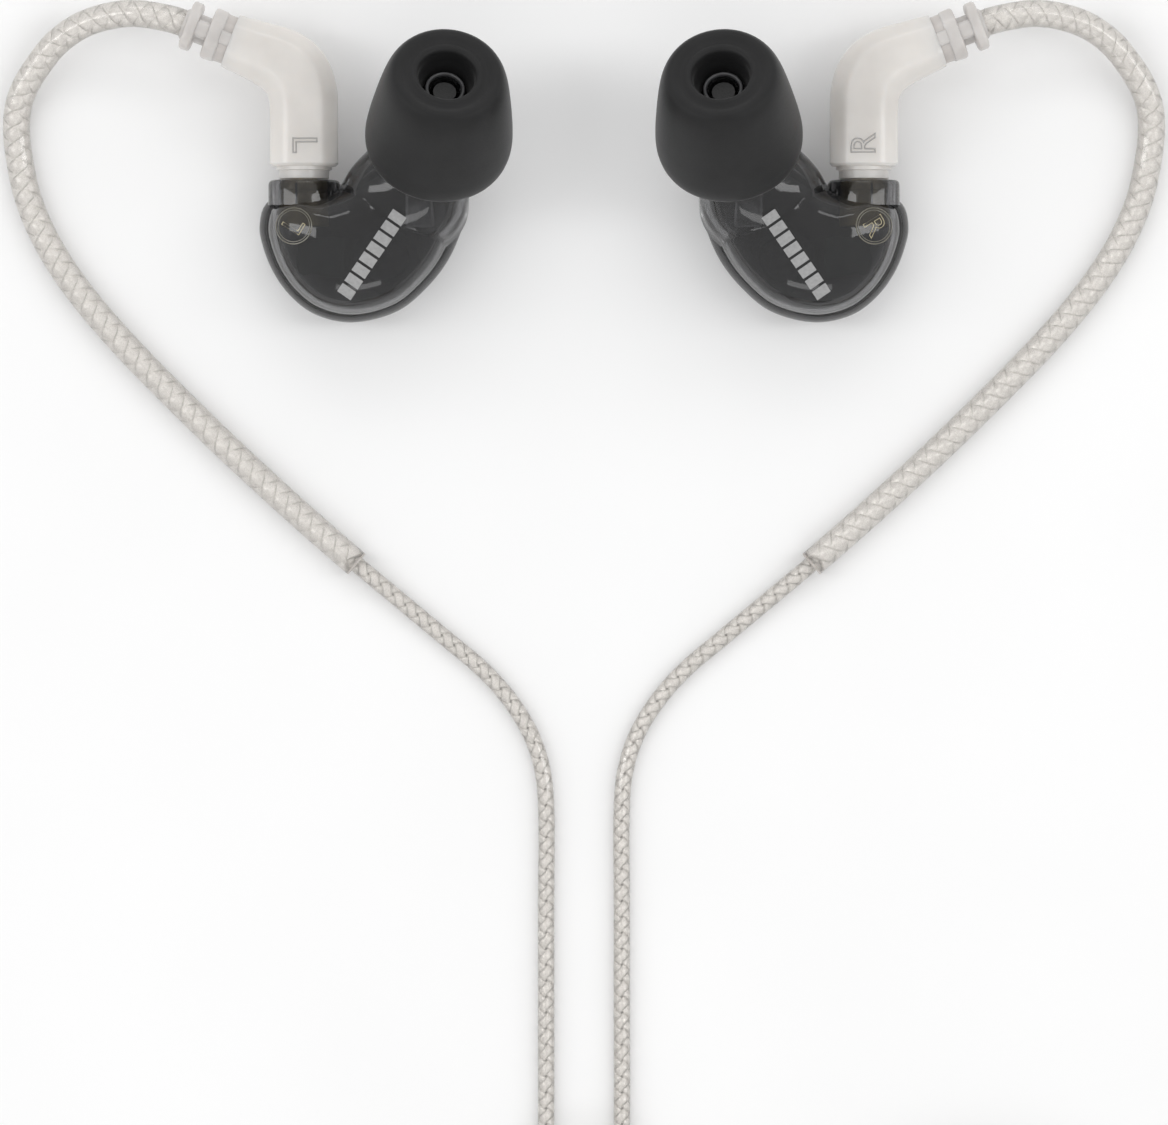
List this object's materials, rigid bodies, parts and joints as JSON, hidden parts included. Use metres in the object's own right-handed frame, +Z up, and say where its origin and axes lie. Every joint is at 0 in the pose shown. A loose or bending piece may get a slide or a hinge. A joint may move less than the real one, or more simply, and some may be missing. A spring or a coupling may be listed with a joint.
{
  "type": "in ear monitors",
  "caption": "Pair of in ear monitors with smoked bean-shaped housings, silicone tips and detachable plaited leads with ear hooks, leads coiled.",
  "frame": {"origin": "centre of the footprint of the housings and ear hooks, on the table they lie on", "axes": "+X from the left earphone to the right one, +Y towards the top of the ear hooks, +Z up, the way the ear tips point"},
  "size_m": [0.1054, 0.1469, 0.0214],
  "materials": {
    "smoke_shell": "clear smoke grey, polished",
    "jack_brass": "turned brass",
    "white_insulator": "moulded white plastic",
    "driver_metal": "dark anodised can",
    "driver_steel": "bright drawn steel",
    "board_laminate": "green circuit laminate",
    "tip_silicone": "matte black silicone",
    "milky_plastic": "milky translucent moulding",
    "relief_rubber": "pinkish grey soft plastic",
    "clear_sleeve": "clear glossy tubing",
    "plaited_lead": "clear jacket over plaited silver-white strands",
    "tie_fabric": "woven hook and loop strap",
    "plug_gold": "bright plated contacts"
  },
  "bodies": {
    "cable": {"left_plug_barrel": "jack_brass", "left_plug_pin": "jack_brass", "left_plug_insulator": "white_insulator", "left_connector_housing": "milky_plastic", "left_strain_relief": "relief_rubber", "left_hook_sleeve": "clear_sleeve", "left_hook_lead": "plaited_lead", "left_lead": "plaited_lead", "left_lead_end": "plaited_lead", "right_plug_barrel": "jack_brass", "right_plug_pin": "jack_brass", "right_plug_insulator": "white_insulator", "right_connector_housing": "milky_plastic", "right_strain_relief": "relief_rubber", "right_hook_sleeve": "clear_sleeve", "right_hook_lead": "plaited_lead", "right_lead": "plaited_lead", "right_lead_end": "plaited_lead", "splitter": "milky_plastic", "leads_coil": "plaited_lead", "leads_tie": "tie_fabric", "main_coil": "plaited_lead", "main_tie": "tie_fabric", "main_cord_start": "plaited_lead", "main_cord_end": "plaited_lead", "plug_relief": "relief_rubber", "plug_shell": "milky_plastic", "plug_sleeve": "plug_gold", "plug_rear_insulator": "white_insulator", "plug_ring": "plug_gold", "plug_front_insulator": "white_insulator", "plug_tip": "plug_gold"},
    "left_snap_ring": {"left_snap_ring": "driver_steel"},
    "left_earphone": {"left_outer_shell": "smoke_shell", "left_inner_shell": "smoke_shell", "left_jack_barrel": "jack_brass", "left_jack_insulator": "white_insulator", "left_jack_contact": "jack_brass", "left_dynamic_driver": "driver_metal", "left_armature_driver": "driver_steel", "left_crossover_board": "board_laminate", "left_nozzle_screen": "driver_steel"},
    "left_tip": {"left_ear_tip": "tip_silicone"},
    "right_snap_ring": {"right_snap_ring": "driver_steel"},
    "right_earphone": {"right_outer_shell": "smoke_shell", "right_inner_shell": "smoke_shell", "right_jack_barrel": "jack_brass", "right_jack_insulator": "white_insulator", "right_jack_contact": "jack_brass", "right_dynamic_driver": "driver_metal", "right_armature_driver": "driver_steel", "right_crossover_board": "board_laminate", "right_nozzle_screen": "driver_steel"},
    "right_tip": {"right_ear_tip": "tip_silicone"},
    "slider": {"cable_slider": "milky_plastic"}
  },
  "joints": [
    {"name": "left_swivel", "type": "hinge", "parent": "cable", "child": "left_snap_ring", "pos_m": [-0.02532, 0.0096, 0.00535], "axis": [0, 1, 0], "range_deg": [-90, 160]},
    {"name": "left_unplug", "type": "slide", "parent": "left_snap_ring", "child": "left_earphone", "axis": [0, -1, 0], "range_m": [0, 0.006]},
    {"name": "left_tip_pull", "type": "slide", "parent": "left_earphone", "child": "left_tip", "axis": [0.088, 0.543, 0.8351], "range_m": [0, 0.008]},
    {"name": "right_swivel", "type": "hinge", "parent": "cable", "child": "right_snap_ring", "pos_m": [0.02532, 0.0096, 0.00535], "axis": [0, 1, 0], "range_deg": [-160, 90]},
    {"name": "right_unplug", "type": "slide", "parent": "right_snap_ring", "child": "right_earphone", "axis": [0, -1, 0], "range_m": [0, 0.006]},
    {"name": "right_tip_pull", "type": "slide", "parent": "right_earphone", "child": "right_tip", "axis": [-0.088, 0.543, 0.8351], "range_m": [0, 0.008]},
    {"name": "slider_slide", "type": "slide", "parent": "cable", "child": "slider", "axis": [0, 1, 0], "range_m": [0, 0.03]}
  ]
}
